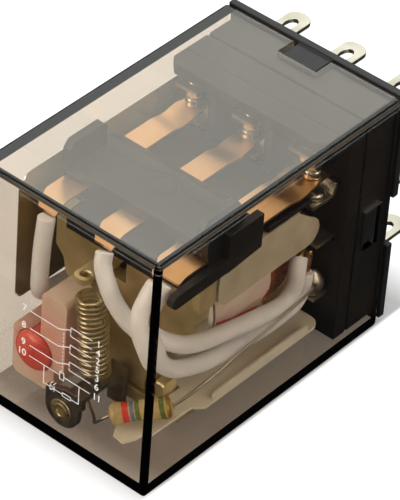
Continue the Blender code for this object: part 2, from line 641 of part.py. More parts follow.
def make_leads(sleeve, copper, enamel):
    routes = (("left", LEAD_LEFT, TAIL_LEFT), ("middle", LEAD_MIDDLE, TAIL_MIDDLE), ("right", LEAD_RIGHT, TAIL_RIGHT))
    for side, covered, bare in routes:
        paint(wire(f"lead_sleeve_{side}", covered, SLEEVE_RADIUS), sleeve)
        paint(wire(f"lead_wire_{side}", bare, BARE_RADIUS), copper)
    for number, side in ((1, -1), (2, 1)):
        route = ((side * 5.4, 24.6, 9.2), (side * 5.9, 25.2, 8.4), (side * 6.2, 25.9, 7.5))
        paint(wire(f"coil_lead_{number}", route, ENAMEL_RADIUS), enamel)


# ---------------------------------------------------------------- the relay


def main():
    clear_scene()
    black = material("black_moulding", (0.018, 0.018, 0.02), 0.5)
    clear = material("smoked_plastic", (0.42, 0.38, 0.33), 0.08, alpha=0.35)
    foil = material("label_foil", (0.42, 0.40, 0.33), 0.45)
    tin = material("tinned_metal", (0.78, 0.75, 0.68), 0.3, 1.0)
    silver = material("silver_contact", (0.86, 0.83, 0.74), 0.25, 1.0)
    copper = material("copper_spring", (0.80, 0.45, 0.25), 0.3, 1.0)
    steel = material("passivated_steel", (0.56, 0.48, 0.30), 0.35, 1.0)
    iron = material("core_iron", (0.45, 0.44, 0.42), 0.4, 1.0)
    spring_wire = material("spring_wire", (0.62, 0.55, 0.36), 0.3, 1.0)
    nylon = material("white_nylon", (0.78, 0.75, 0.66), 0.45)
    enamel = material("enamelled_wire", (0.38, 0.16, 0.07), 0.35)
    tape_cloth = material("coil_tape", (0.80, 0.70, 0.60), 0.6)
    sleeve = material("white_sleeve", (0.86, 0.84, 0.79), 0.5)
    red = material("red_lens", (0.75, 0.06, 0.06), 0.2)
    shell = material("resistor_shell", (0.62, 0.50, 0.27), 0.4)

    make_cover(clear)
    make_side_label(foil)
    make_base(black)
    make_contact_block(black)
    make_terminals(tin, silver)
    make_moving_parts(copper, silver, black, steel)
    make_yoke(steel)
    make_core(iron, copper)
    make_coil(nylon, enamel, tape_cloth)
    make_coil_shield(nylon)
    make_yoke_insulator(nylon)
    make_return_spring(spring_wire)
    make_spring_anchor(steel, spring_wire)
    make_light(red, nylon, tin)
    make_resistor(shell, tin)
    make_leads(sleeve, copper, enamel)
    make_solder("solder_joint_10", POLES[0] - 0.4, tin)
    make_solder("solder_joint_11", POLES[2] + 0.4, tin)


main()
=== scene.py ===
"""Looks for the plug-in control relay: a clear smoked case with its mechanism inside.

Sizes are in millimetres with y counted from the printed end of the case, as in the
part's own source; at() turns them into the frame's metres.
"""

import json
import math

import bmesh
import bpy
from mathutils import Matrix, Vector


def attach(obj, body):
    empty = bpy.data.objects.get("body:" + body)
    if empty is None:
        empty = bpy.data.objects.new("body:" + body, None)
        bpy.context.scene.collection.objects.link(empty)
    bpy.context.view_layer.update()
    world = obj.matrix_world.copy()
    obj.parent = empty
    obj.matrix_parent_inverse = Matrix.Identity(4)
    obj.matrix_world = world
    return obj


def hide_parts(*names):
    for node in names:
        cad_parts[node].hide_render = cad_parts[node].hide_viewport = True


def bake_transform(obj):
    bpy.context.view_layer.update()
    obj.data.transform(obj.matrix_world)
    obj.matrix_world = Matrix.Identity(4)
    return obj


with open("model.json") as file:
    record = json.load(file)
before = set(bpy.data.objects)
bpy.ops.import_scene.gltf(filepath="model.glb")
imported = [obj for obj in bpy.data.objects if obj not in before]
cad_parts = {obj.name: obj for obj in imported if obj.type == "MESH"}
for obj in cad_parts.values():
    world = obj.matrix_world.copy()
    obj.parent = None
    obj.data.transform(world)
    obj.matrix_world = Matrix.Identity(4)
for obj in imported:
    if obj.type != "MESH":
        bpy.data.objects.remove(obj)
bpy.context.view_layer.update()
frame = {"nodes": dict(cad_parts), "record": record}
nodes = frame["nodes"]
scene = bpy.context.scene
MM = 0.001
MID_Y = 20.95

POLES = (-6.9, 0.0, 6.9)
CONTACT_Y = 25.7
CONTACT_SLIDE = 0.5
UPPER_WALL_Z = 26.6
COIL_Z = 12.3
TAPE_RADIUS = 7.2

LIGHT = (-5.05, 1.6, 7.25)
LIGHT_RADIUS = 2.15
LIGHT_DEPTH = 3.8
LIGHT_CROWN = 0.9
# Centre of the painted red glow on the light holder.
PAINTED_GLOW_CENTRE = (LIGHT[0] + 1.0, 3.0, LIGHT[2] + 1.5)

LEAF_Z = 21.53
LEAF_THICK = 0.25
LEAF_HALF = 1.35

SLEEVE_RADIUS = 0.85
STRAND_RADIUS = 0.35
WIRE_RADIUS = 0.15
SPRING_WIRE_RADIUS = 0.2

SLEEVES = {
    "left": (
        (-6.1, 4.7, 21.4), (-6.0, 4.2, 18.6), (-5.9, 3.9, 16.0), (-6.0, 4.0, 13.6), (-6.9, 5.4, 11.6),
        (-8.3, 7.8, 9.6), (-8.6, 10.5, 8.8), (-8.6, 15.5, 8.7), (-8.6, 20.0, 9.6), (-8.5, 23.0, 11.6),
        (-8.2, 24.3, 12.7),
    ),
    "middle": (
        (1.0, 4.7, 21.4), (1.4, 4.1, 20.2), (2.6, 3.6, 18.7), (3.5, 3.6, 17.4), (4.9, 4.0, 15.7),
        (6.6, 5.0, 14.3), (8.1, 6.5, 13.5), (8.45, 8.6, 12.7), (8.45, 10.8, 12.0), (8.45, 15.9, 10.7),
        (8.45, 20.3, 9.8), (8.45, 21.9, 10.3), (8.5, 22.6, 11.6), (8.4, 22.8, 13.0), (8.0, 23.4, 13.9),
    ),
    "right": (
        (7.2, 4.7, 21.3), (7.1, 3.8, 20.3), (7.2, 2.7, 18.9), (7.7, 2.2, 17.4), (8.5, 2.3, 15.6),
        (8.65, 3.0, 13.8), (8.65, 4.6, 12.1), (8.65, 6.6, 11.0), (8.6, 9.6, 9.85), (8.3, 13.0, 8.9),
        (8.0, 16.0, 8.2), (7.8, 18.6, 7.7), (7.7, 20.6, 7.5), (7.7, 22.3, 7.6), (7.85, 23.6, 8.1),
        (7.95, 24.4, 9.4), (7.95, 24.7, 11.3),
    ),
}
STRANDS = {
    "left": ((-8.45, 23.2, 11.8), (-8.1, 24.6, 12.9), (-7.6, 25.5, 13.45)),
    "middle": (
        (8.48, 22.72, 12.8), (8.2, 23.3, 13.9), (7.4, 24.6, 14.2), (6.3, 25.4, 14.5), (5.85, 26.5, 14.6),
        (5.5, 27.5, 14.6), (4.4, 27.72, 14.5), (2.4, 27.72, 14.1), (0.2, 27.72, 13.5),
    ),
    "right": (
        (7.7, 22.9, 7.75), (7.8, 23.6, 8.1), (7.9, 24.4, 9.4), (7.95, 24.8, 11.2), (7.8, 25.3, 12.6),
        (7.6, 25.5, 13.2),
    ),
}
BARE_WIRES = {
    "light_lead_1": (
        (-4.45, 5.6, 7.25), (-4.45, 6.6, 7.25), (-4.1, 7.3, 6.7), (-2.6, 7.3, 4.9), (-1.6, 6.0, 2.4),
        (1.0, 4.4, 1.7), (2.7, 2.6, 3.0), (3.8, 2.0, 4.4), (4.6, 2.4, 5.2),
    ),
    "light_lead_2": (
        (-5.65, 5.6, 7.25), (-5.65, 6.6, 7.25), (-6.2, 7.4, 6.9), (-7.9, 7.9, 6.2), (-8.8, 10.5, 5.6),
        (-8.8, 18, 5.2), (-8.4, 24.0, 5.7), (-7.5, 26.2, 6.9),
    ),
    "resistor_lead": (
        (8.1, 5.7, 6.45), (8.75, 6.6, 7.2), (9.3, 8.3, 8.1), (9.52, 11.0, 8.65), (9.52, 15.0, 9.2),
        (9.52, 19.5, 9.75), (9.45, 23.0, 10.1), (9.0, 25.0, 9.9), (8.0, 26.2, 8.8),
    ),
}
RESISTOR_ENDS = ((4.55, 2.4, 5.25), (8.2, 5.75, 6.5))


def at(point):
    """A point in part millimetres, in the frame's metres."""
    x, y, z = point
    return Vector((x * MM, (y - MID_Y) * MM, z * MM))


# ---------------------------------------------------------------- shader helpers

materials = {}


def new_material(name):
    """Makes a named material; returns its node tree and its main shader."""
    made = bpy.data.materials.new(name)
    made.use_nodes = True
    materials[name] = made
    return made.node_tree, made.node_tree.nodes["Principled BSDF"]


def feed(tree, socket, value):
    """Links another socket to this one, or sets a plain value on it."""
    if isinstance(value, bpy.types.NodeSocket):
        tree.links.new(value, socket)
    else:
        socket.default_value = value


def coordinates(tree, kind="Object"):
    return tree.nodes.new("ShaderNodeTexCoord").outputs[kind]


def axes(tree, vector):
    """A vector's X, Y and Z sockets."""
    split = tree.nodes.new("ShaderNodeSeparateXYZ")
    tree.links.new(vector, split.inputs[0])
    return split.outputs


def math_node(tree, operation, first, second):
    """A math node; each input is a socket or a plain number."""
    node = tree.nodes.new("ShaderNodeMath")
    node.operation = operation
    feed(tree, node.inputs[0], first)
    feed(tree, node.inputs[1], second)
    return node.outputs[0]


def fade(tree, value, start, end):
    """1 up to the start, falling to 0 at the end."""
    node = tree.nodes.new("ShaderNodeMapRange")
    node.inputs["From Min"].default_value = start
    node.inputs["From Max"].default_value = end
    node.inputs["To Min"].default_value = 1.0
    node.inputs["To Max"].default_value = 0.0
    tree.links.new(value, node.inputs["Value"])
    return node.outputs[0]


def near_middle(tree, coordinate, reach, rim):
    """1 within reach of zero along a coordinate, falling to 0 across the rim."""
    size = math_node(tree, "ABSOLUTE", coordinate, 0.0)
    return fade(tree, size, reach, reach + rim)


def noise(tree, scale, detail=3.0, stretch=(1, 1, 1)):
    """Noise in object space; scale is in features for each millimetre."""
    mapping = tree.nodes.new("ShaderNodeMapping")
    mapping.inputs["Scale"].default_value = [scale * 1000 * s for s in stretch]
    pattern = tree.nodes.new("ShaderNodeTexNoise")
    pattern.inputs["Scale"].default_value = 1.0
    pattern.inputs["Detail"].default_value = detail
    tree.links.new(coordinates(tree), mapping.inputs[0])
    tree.links.new(mapping.outputs[0], pattern.inputs["Vector"])
    return pattern.outputs["Fac"]


def ramp(tree, factor, low, high, start=0.3, end=0.7):
    """Maps a pattern onto two colours or two grey values."""
    node = tree.nodes.new("ShaderNodeValToRGB")
    for element, place, value in zip(node.color_ramp.elements, (start, end), (low, high)):
        element.position = place
        element.color = (*value, 1.0) if isinstance(value, tuple) else (value, value, value, 1.0)
    tree.links.new(factor, node.inputs[0])
    return node.outputs[0]


def bump(tree, shader, height, strength, distance):
    """Gives a shader relief from a height pattern; the distance is in millimetres."""
    node = tree.nodes.new("ShaderNodeBump")
    node.inputs["Strength"].default_value = strength
    node.inputs["Distance"].default_value = distance * MM
    tree.links.new(height, node.inputs["Height"])
    tree.links.new(node.outputs[0], shader.inputs["Normal"])


def tint_base(tree, shader, factor, color):
    """Moves the shader's base colour towards another one, a socket or plain values, by the factor."""
    before = shader.inputs["Base Color"].links[0].from_socket
    mix = tree.nodes.new("ShaderNodeMix")
    mix.data_type = "RGBA"
    tree.links.new(factor, mix.inputs["Factor"])
    tree.links.new(before, mix.inputs["A"])
    feed(tree, mix.inputs["B"], color)
    tree.links.new(mix.outputs["Result"], shader.inputs["Base Color"])


def flat_shader(tree, kind, color):
    """A shader node with nothing but a colour."""
    node = tree.nodes.new(kind)
    node.inputs["Color"].default_value = (*color, 1)
    return node.outputs[0]


def mix_shaders(tree, factor, first, second):
    """The first shader where the factor is 0, the second where it is 1."""
    mix = tree.nodes.new("ShaderNodeMixShader")
    for socket, source in zip(mix.inputs, (factor, first, second)):
        tree.links.new(source, socket)
    return mix.outputs[0]


def surface(name, dark, light, rough, metallic=0.0, grain=2.0, stretch=(1, 1, 1), relief=0.02,
            strength=0.4):
    """An opaque material whose colour, roughness and height follow fine noise."""
    tree, shader = new_material(name)
    broad = noise(tree, grain * 0.25, 4.0)
    fine = noise(tree, grain, 2.0, stretch)
    tree.links.new(ramp(tree, broad, dark, light), shader.inputs["Base Color"])
    tree.links.new(ramp(tree, fine, rough[0], rough[1]), shader.inputs["Roughness"])
    shader.inputs["Metallic"].default_value = metallic
    bump(tree, shader, fine, strength, relief)
    return tree, shader


def soft_plastic(name, dark, light, rough, depth, weight, grain=1.5, relief=0.01):
    """A milky plastic that lets some light in, to a depth in millimetres."""
    tree, shader = surface(name, dark, light, rough, grain=grain, relief=relief)
    shader.inputs["Subsurface Weight"].default_value = weight
    shader.inputs["Subsurface Scale"].default_value = depth * MM
    shader.inputs["Subsurface Radius"].default_value = (1.0, 0.7, 0.5)
    return tree, shader


# ---------------------------------------------------------------- camera, floor, light


def make_camera():
    """The photograph's view: a long lens, from the front right and above."""
    camera = bpy.data.objects.new("camera", bpy.data.cameras.new("camera"))
    scene.collection.objects.link(camera)
    camera.location = (0.16711, -0.21659, 0.23644)
    camera.rotation_euler = (0.88000, -0.05996, 0.71018)
    camera.data.lens = 269.08
    camera.data.sensor_width = 36.0
    camera.data.clip_start = 0.01
    scene.camera = camera
    scene.view_settings.view_transform = "Standard"


def area_light(name, location, size, power, color=(1.0, 1.0, 1.0)):
    """A rectangular softbox that points at the relay."""
    lamp = bpy.data.lights.new(name, "AREA")
    lamp.shape = "RECTANGLE"
    lamp.size, lamp.size_y = size
    lamp.energy = power
    lamp.color = color
    made = bpy.data.objects.new(name, lamp)
    scene.collection.objects.link(made)
    made.location = location
    towards = Vector((0, 0, 0.01)) - Vector(location)
    made.rotation_euler = towards.to_track_quat("-Z", "Y").to_euler()


def make_world():
    """Dark below the horizon and dim above it, so that the black mouldings stay black."""
    world = bpy.data.worlds.new("studio")
    scene.world = world
    world.use_nodes = True
    tree = world.node_tree
    height = axes(tree, coordinates(tree, "Generated"))["Z"]
    shade = ramp(tree, height, (0.012, 0.012, 0.014), (0.34, 0.335, 0.32), 0.0, 0.3)
    tree.links.new(shade, tree.nodes["Background"].inputs["Color"])
    tree.nodes["Background"].inputs["Strength"].default_value = 1.0


def make_floor():
    """Pale paper that glows softly; a painted shadow dims its glow where the relay stands, and a painted
    dark reflection shows it dark where the case mirrors it.
    """
    half_size, gap = 1.5, 0.0001
    glow, painted_shadow_depth = 0.78, 0.6
    bm = bmesh.new()
    bmesh.ops.create_grid(bm, x_segments=8, y_segments=8, size=half_size)
    data = bpy.data.meshes.new("floor")
    bm.to_mesh(data)
    bm.free()
    floor = bpy.data.objects.new("floor", data)
    scene.collection.objects.link(floor)
    floor.location.z = -gap
    floor.visible_glossy = False
    tree, shader = new_material("floor_paper")
    tone = ramp(tree, noise(tree, 0.05, 2.0), (0.34, 0.34, 0.34), (0.38, 0.38, 0.38))
    tree.links.new(tone, shader.inputs["Base Color"])
    shader.inputs["Roughness"].default_value = 0.9
    place = axes(tree, coordinates(tree))
    inside_x = near_middle(tree, place["X"], 10.6 * MM, 0.4 * MM)
    inside_y = near_middle(tree, place["Y"], 17.5 * MM, 6.0 * MM)
    # painted shadow: the floor's glow is cut beneath the relay's footprint, fading out past its two ends
    painted_shadow_mask = math_node(tree, "MULTIPLY", inside_x, inside_y)
    painted_shadow = math_node(tree, "MULTIPLY", painted_shadow_mask, painted_shadow_depth)
    shader.inputs["Emission Color"].default_value = (1.0, 1.0, 1.0, 1.0)
    tree.links.new(math_node(tree, "SUBTRACT", glow, painted_shadow), shader.inputs["Emission Strength"])
    # painted dark reflection: after a glossy bounce the floor is drawn as a dark diffuse instead of glowing
    # paper
    path = tree.nodes.new("ShaderNodeLightPath")
    seen_in_reflection = math_node(tree, "GREATER_THAN", path.outputs["Glossy Depth"], 0.5)
    dark = flat_shader(tree, "ShaderNodeBsdfDiffuse", (0.03, 0.03, 0.03))
    seen = mix_shaders(tree, seen_in_reflection, shader.outputs[0], dark)
    tree.links.new(seen, tree.nodes["Material Output"].inputs["Surface"])
    data.materials.append(materials["floor_paper"])


def make_stage():
    make_world()
    make_floor()
    area_light("softbox_back", (-0.25, 0.42, 0.42), (0.6, 0.45), 1.0, (0.95, 1.0, 0.98))
    area_light("softbox_top", (0.0, 0.05, 0.8), (0.7, 0.7), 4.2)
    area_light("softbox_right", (0.7, 0.05, 0.45), (0.4, 0.4), 2.2)
    area_light("softbox_front", (-0.35, -0.7, 0.30), (0.4, 0.4), 3.0, (1.0, 0.97, 0.92))


# ---------------------------------------------------------------- finishes


def inner_top(tree):
    """How much painted sheen there is: only on the inner side of the cover's upper wall."""
    height = math_node(tree, "SUBTRACT", axes(tree, coordinates(tree))["Z"], UPPER_WALL_Z * MM)
    level = near_middle(tree, height, 0.05 * MM, 0.05 * MM)
    patchy = ramp(tree, noise(tree, 0.15, 5.0), 0.08, 0.125)
    return math_node(tree, "MULTIPLY", level, patchy)


def make_glass():
    """Smoked clear plastic: refracts, darkens along thick paths, and lets shadow light through."""
    tree, shader = new_material("smoked_clear")
    shader.inputs["Base Color"].default_value = (0.99, 0.985, 0.975, 1)
    shader.inputs["IOR"].default_value = 1.55
    shader.inputs["Transmission Weight"].default_value = 1.0
    scuffs = ramp(tree, noise(tree, 1.2, 8.0, (3, 0.6, 1)), 0.0, 0.035, 0.55, 0.8)
    tree.links.new(scuffs, shader.inputs["Roughness"])
    bump(tree, shader, noise(tree, 0.12, 2.0), 0.04, 0.02)
    smoke = tree.nodes.new("ShaderNodeVolumeAbsorption")
    smoke.inputs["Color"].default_value = (0.54, 0.34, 0.10, 1)
    smoke.inputs["Density"].default_value = 340.0
    # painted sheen: a bluish diffuse layer inside the upper wall lays a grey veil in place of a reflected
    # one
    painted_sheen = flat_shader(tree, "ShaderNodeBsdfDiffuse", (0.72, 0.84, 0.92))
    clear = flat_shader(tree, "ShaderNodeBsdfTransparent", (0.90, 0.88, 0.85))
    with_painted_sheen = mix_shaders(tree, inner_top(tree), shader.outputs[0], painted_sheen)
    path = tree.nodes.new("ShaderNodeLightPath")
    seen = mix_shaders(tree, path.outputs["Is Shadow Ray"], with_painted_sheen, clear)
    out = tree.nodes["Material Output"]
    tree.links.new(seen, out.inputs["Surface"])
    tree.links.new(smoke.outputs[0], out.inputs["Volume"])


def make_glowing_holder():
    """Milky nylon with a painted red glow: its colour turns red around the light, as if the light shone on
    it.
    """
    tree, shader = soft_plastic("holder_nylon_painted_glow", (0.62, 0.56, 0.46), (0.72, 0.67, 0.57), (0.4, 0.55),
                                1.0, 0.5)
    away = tree.nodes.new("ShaderNodeVectorMath")
    away.operation = "DISTANCE"
    away.inputs[1].default_value = at(PAINTED_GLOW_CENTRE)
    tree.links.new(coordinates(tree), away.inputs[0])
    # painted glow: the base colour turns red within a few millimetres of a point beside the lens
    painted_glow = fade(tree, away.outputs["Value"], 2.0 * MM, 7.5 * MM)
    tint_base(tree, shader, painted_glow, (0.78, 0.44, 0.37, 1))


def make_winding_finish():
    """Fine enamelled wire laid side by side round the coil's long axis."""
    tree, shader = surface("enamel_wire", (0.16, 0.045, 0.02), (0.36, 0.13, 0.05), (0.22, 0.38), grain=3.0)
    turns = tree.nodes.new("ShaderNodeTexWave")
    turns.bands_direction = "Y"
    turns.inputs["Scale"].default_value = 1200.0
    turns.inputs["Distortion"].default_value = 0.4
    tree.links.new(coordinates(tree), turns.inputs["Vector"])
    bump(tree, shader, turns.outputs["Fac"], 0.7, 0.05)


def make_label_foil():
    """Satin grey outside; its glued side, seen through the case, is olive, and made darker there as painted
    shade.
    """
    # painted shade: the inward glued side gets the darker olive, the outward face the lighter grey
    tree, shader = surface("label_foil", (0.34, 0.29, 0.15), (0.44, 0.38, 0.21), (0.4, 0.55), grain=1.0)
    front = ramp(tree, noise(tree, 0.4, 3.0), (0.58, 0.58, 0.56), (0.62, 0.62, 0.60))
    geometry = tree.nodes.new("ShaderNodeNewGeometry")
    normal = axes(tree, geometry.outputs["True Normal"])
    outward = math_node(tree, "LESS_THAN", normal["X"], -0.5)
    tint_base(tree, shader, outward, front)


def make_metals():
    surface("tinned", (0.50, 0.47, 0.38), (0.70, 0.66, 0.55), (0.32, 0.46), metallic=1.0, grain=1.5,
            relief=0.004, strength=0.3)
    surface("silver", (0.74, 0.68, 0.52), (0.94, 0.90, 0.78), (0.14, 0.28), metallic=1.0, grain=1.5,
            relief=0.002, strength=0.2)
    surface("copper", (0.93, 0.54, 0.25), (0.99, 0.66, 0.36), (0.30, 0.40), metallic=1.0, grain=2.0,
            stretch=(3, 0.6, 1), relief=0.0008)
    surface("bare_copper", (0.55, 0.24, 0.12), (0.80, 0.45, 0.26), (0.25, 0.45), metallic=1.0, grain=5.0)
    surface("passivated", (0.62, 0.51, 0.26), (0.92, 0.79, 0.46), (0.34, 0.5), metallic=0.7, grain=1.4,
            relief=0.01)
    surface("iron", (0.26, 0.25, 0.23), (0.44, 0.42, 0.39), (0.3, 0.5), metallic=1.0, grain=3.0)
    surface("spring_steel", (0.60, 0.51, 0.30), (0.90, 0.81, 0.56), (0.26, 0.42), metallic=1.0, grain=2.0,
            relief=0.003)


def make_plastics():
    _, black = surface("black_plastic", (0.005, 0.005, 0.006), (0.012, 0.012, 0.013), (0.4, 0.46),
                       grain=1.0, relief=0.004, strength=0.15)
    black.inputs["Specular IOR Level"].default_value = 0.45
    surface("seam_black", (0.001, 0.001, 0.001), (0.003, 0.003, 0.003), (0.7, 0.9), grain=2.0)
    soft_plastic("white_nylon", (0.68, 0.64, 0.53), (0.80, 0.77, 0.66), (0.35, 0.55), 1.0, 0.4)
    # painted shade: a darker copy of the white nylon, for the coil shield lying in shade below the springs
    soft_plastic("shield_nylon_painted_shade", (0.40, 0.36, 0.26), (0.54, 0.49, 0.37), (0.35, 0.55), 1.0, 0.4)
    soft_plastic("white_tube", (0.72, 0.74, 0.76), (0.82, 0.84, 0.86), (0.3, 0.45), 0.8, 0.3)
    soft_plastic("red_lens", (0.70, 0.10, 0.08), (0.82, 0.20, 0.16), (0.12, 0.26), 1.0, 0.5, relief=0.004)


def make_paints():
    """The tape, the marks, and the resistor's body with its rings."""
    surface("tape", (0.66, 0.52, 0.44), (0.76, 0.64, 0.56), (0.4, 0.6), grain=1.0)
    surface("pen_red", (0.55, 0.02, 0.02), (0.70, 0.05, 0.04), (0.4, 0.6), grain=3.0)
    _, ink_with_painted_glow = surface("print_white", (0.80, 0.80, 0.80), (0.90, 0.90, 0.90), (0.5, 0.7), grain=5.0,
                     relief=0.002)
    # painted light: the white print glows slightly so it reads bright, as if lit from the front
    ink_with_painted_glow.inputs["Emission Color"].default_value = (1.0, 1.0, 1.0, 1.0)
    ink_with_painted_glow.inputs["Emission Strength"].default_value = 0.12
    surface("resistor_tan", (0.46, 0.34, 0.15), (0.60, 0.48, 0.25), (0.2, 0.35))
    surface("band_red", (0.60, 0.04, 0.03), (0.72, 0.08, 0.06), (0.2, 0.35))
    surface("band_blue", (0.12, 0.16, 0.24), (0.17, 0.22, 0.30), (0.2, 0.35))
    surface("band_green", (0.12, 0.16, 0.03), (0.18, 0.22, 0.06), (0.2, 0.35))
    surface("band_gold", (0.42, 0.26, 0.04), (0.55, 0.36, 0.08), (0.25, 0.4), metallic=0.5)
    surface("band_brown", (0.07, 0.03, 0.01), (0.12, 0.055, 0.02), (0.25, 0.4))


def make_materials():
    make_glass()
    make_glowing_holder()
    make_winding_finish()
    make_label_foil()
    make_metals()
    make_plastics()
    make_paints()


SLOTS = {
    "smoked_plastic": "smoked_clear", "black_moulding": "black_plastic", "label_foil": "label_foil",
    "tinned_metal": "tinned", "silver_contact": "silver", "copper_spring": "copper",
    "passivated_steel": "passivated", "core_iron": "iron", "spring_wire": "spring_steel",
    "white_nylon": "white_nylon", "enamelled_wire": "enamel_wire", "coil_tape": "tape",
    "white_sleeve": "white_tube", "red_lens": "red_lens", "resistor_shell": "resistor_tan",
}
# The light holder's finish carries a painted red glow, and the coil shield's a painted shade.
OWN_FINISHES = {"light_holder": "holder_nylon_painted_glow", "coil_shield": "shield_nylon_painted_shade", "spring_anchor": "iron"}
SOFT_EDGES = {
    "base": 0.12, "contact_block": 0.15, "armature_carrier": 0.18, "armature": 0.14, "yoke": 0.15,
    "coil_shield": 0.1, "yoke_insulator": 0.1, "light_holder": 0.2, "spring_anchor": 0.08,
}
BLADE_EDGE = 0.06


def soften(piece, width):
    """Rounds a CAD node's sharp edges a little, as a modifier."""
    weld = piece.modifiers.new("weld", "WELD")
    weld.merge_threshold = 0.002 * MM
    edges = piece.modifiers.new("edges", "BEVEL")
    edges.width = width * MM
    edges.segments = 2
    edges.limit_method = "ANGLE"
    edges.angle_limit = math.radians(40)
    edges.use_clamp_overlap = True
    edges.harden_normals = True


def paint_nodes():
    """Gives every CAD node its finish, and the larger ones soft edges."""
    for part in frame["record"]["subparts"]:
        name = part["node"]
        finish = OWN_FINISHES.get(name, SLOTS[part["material_slot"]])
        piece = nodes[name]
        piece.data.materials.clear()
        piece.data.materials.append(materials[finish])
    for name, width in SOFT_EDGES.items():
        soften(nodes[name], width)
    for name in nodes:
        if name.startswith("terminal_"):
            soften(nodes[name], BLADE_EDGE)


# ---------------------------------------------------------------- building pieces


def link_piece(name, bm, finishes, body=None, replaced=()):
    """A shown piece from a bmesh in part millimetres, riding on a body if one is given."""
    bmesh.ops.recalc_face_normals(bm, faces=bm.faces)
    for vert in bm.verts:
        vert.co = at(vert.co)
    data = bpy.data.meshes.new(name)
    bm.to_mesh(data)
    bm.free()
    data.shade_smooth()
    data.set_sharp_from_angle(angle=math.radians(45))
    for finish in finishes:
        data.materials.append(materials[finish])
    piece = bpy.data.objects.new(name, data)
    scene.collection.objects.link(piece)
    if replaced:
        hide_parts(*replaced)
    if body:
        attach(piece, body)
    return piece


def skin(bm, loops):
    """Closes a row of equal loops into a solid: a cap at each end, and quads between neighbours."""
    bm.faces.new(loops[0])
    bm.faces.new(loops[-1])
    for loop, following in zip(loops, loops[1:]):
        for step in range(len(loop)):
            turn = (step + 1) % len(loop)
            bm.faces.new((loop[step], loop[turn], following[turn], following[step]))


def smooth_route(points, spacing):
    """Points on a Catmull-Rom curve through a route, about spacing apart."""
    route = [Vector(point) for point in points]
    route = [2 * route[0] - route[1]] + route + [2 * route[-1] - route[-2]]
    fine = []
    for before, start, end, after in zip(route, route[1:], route[2:], route[3:]):
        steps = max(2, round((end - start).length / spacing))
        for step in range(steps):
            t = step / steps
            fine.append(0.5 * (2 * start + (end - before) * t
                               + (2 * before - 5 * start + 4 * end - after) * t ** 2
                               + (3 * start - before - 3 * end + after) * t ** 3))
    fine.append(route[-2])
    return fine


def sweep(bm, points, radius, sides=20):
    """Adds a round tube along the points, with slightly rounded flat ends."""
    edge = radius * 0.15
    first = (points[1] - points[0]).normalized()
    last = (points[-1] - points[-2]).normalized()
    stations = [(points[0], radius - edge), (points[0] + first * edge, radius)]
    stations += [(point, radius) for point in points[1:-1]]
    stations += [(points[-1] - last * edge, radius), (points[-1], radius - edge)]
    side = first.orthogonal().normalized()
    rings = []
    for number, (centre, size) in enumerate(stations):
        before = stations[max(number - 1, 0)][0]
        after = stations[min(number + 1, len(stations) - 1)][0]
        along = (after - before).normalized()
        side = (side - along * side.dot(along)).normalized()
        other = along.cross(side)
        ring = []
        for step in range(sides):
            angle = math.tau * step / sides
            ring.append(bm.verts.new(centre + size * (math.cos(angle) * side + math.sin(angle) * other)))
        rings.append(ring)
    skin(bm, rings)


def turned(bm, profile, base, direction, segments=40):
    """Adds a solid of revolution from axis to axis; profile points are (radius, distance, finish index)."""
    turn = Vector(direction).to_track_quat("Z", "Y").to_matrix()
    rings = []
    for radius, height, _ in profile:
        count = segments if radius > 0 else 1
        ring = []
        for step in range(count):
            angle = math.tau * step / segments
            spot = Vector((radius * math.cos(angle), radius * math.sin(angle), height))
            ring.append(bm.verts.new(Vector(base) + turn @ spot))
        rings.append(ring)
    for ring, following, (_, _, finish) in zip(rings, rings[1:], profile):
        for step in range(segments):
            after = (step + 1) % segments
            corners = []
            for loop, place in ((ring, step), (ring, after), (following, after), (following, step)):
                corners.append(loop[place % len(loop)])
            face = bm.faces.new(list(dict.fromkeys(corners)))
            face.material_index = finish


def plain(profile):
    """A profile in the piece's first finish all over."""
    return [(radius, height, 0) for radius, height in profile]


# ---------------------------------------------------------------- wires, sleeves and spring


def follow_armature(piece):
    """Bakes the piece's placement into its mesh; the piece rides on no body."""
    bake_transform(piece)


def make_leads():
    """The three sleeved leads, and the strands that come out of them."""
    for side in SLEEVES:
        bm = bmesh.new()
        sweep(bm, smooth_route(SLEEVES[side], 0.25), SLEEVE_RADIUS, 28)
        sleeve = link_piece(f"sleeve_{side}", bm, ["white_tube"],
                            replaced=[f"lead_sleeve_{side}"])
        follow_armature(sleeve)
        bm = bmesh.new()
        sweep(bm, smooth_route(STRANDS[side], 0.15), STRAND_RADIUS, 16)
        strand = link_piece(f"strand_{side}", bm, ["bare_copper"],
                            replaced=[f"lead_wire_{side}"])
        follow_armature(strand)


def make_bare_wires():
    for name, route in BARE_WIRES.items():
        bm = bmesh.new()
        sweep(bm, smooth_route(route, 0.15), WIRE_RADIUS, 12)
        link_piece(f"wire_{name}", bm, ["tinned"], "housing", [name])


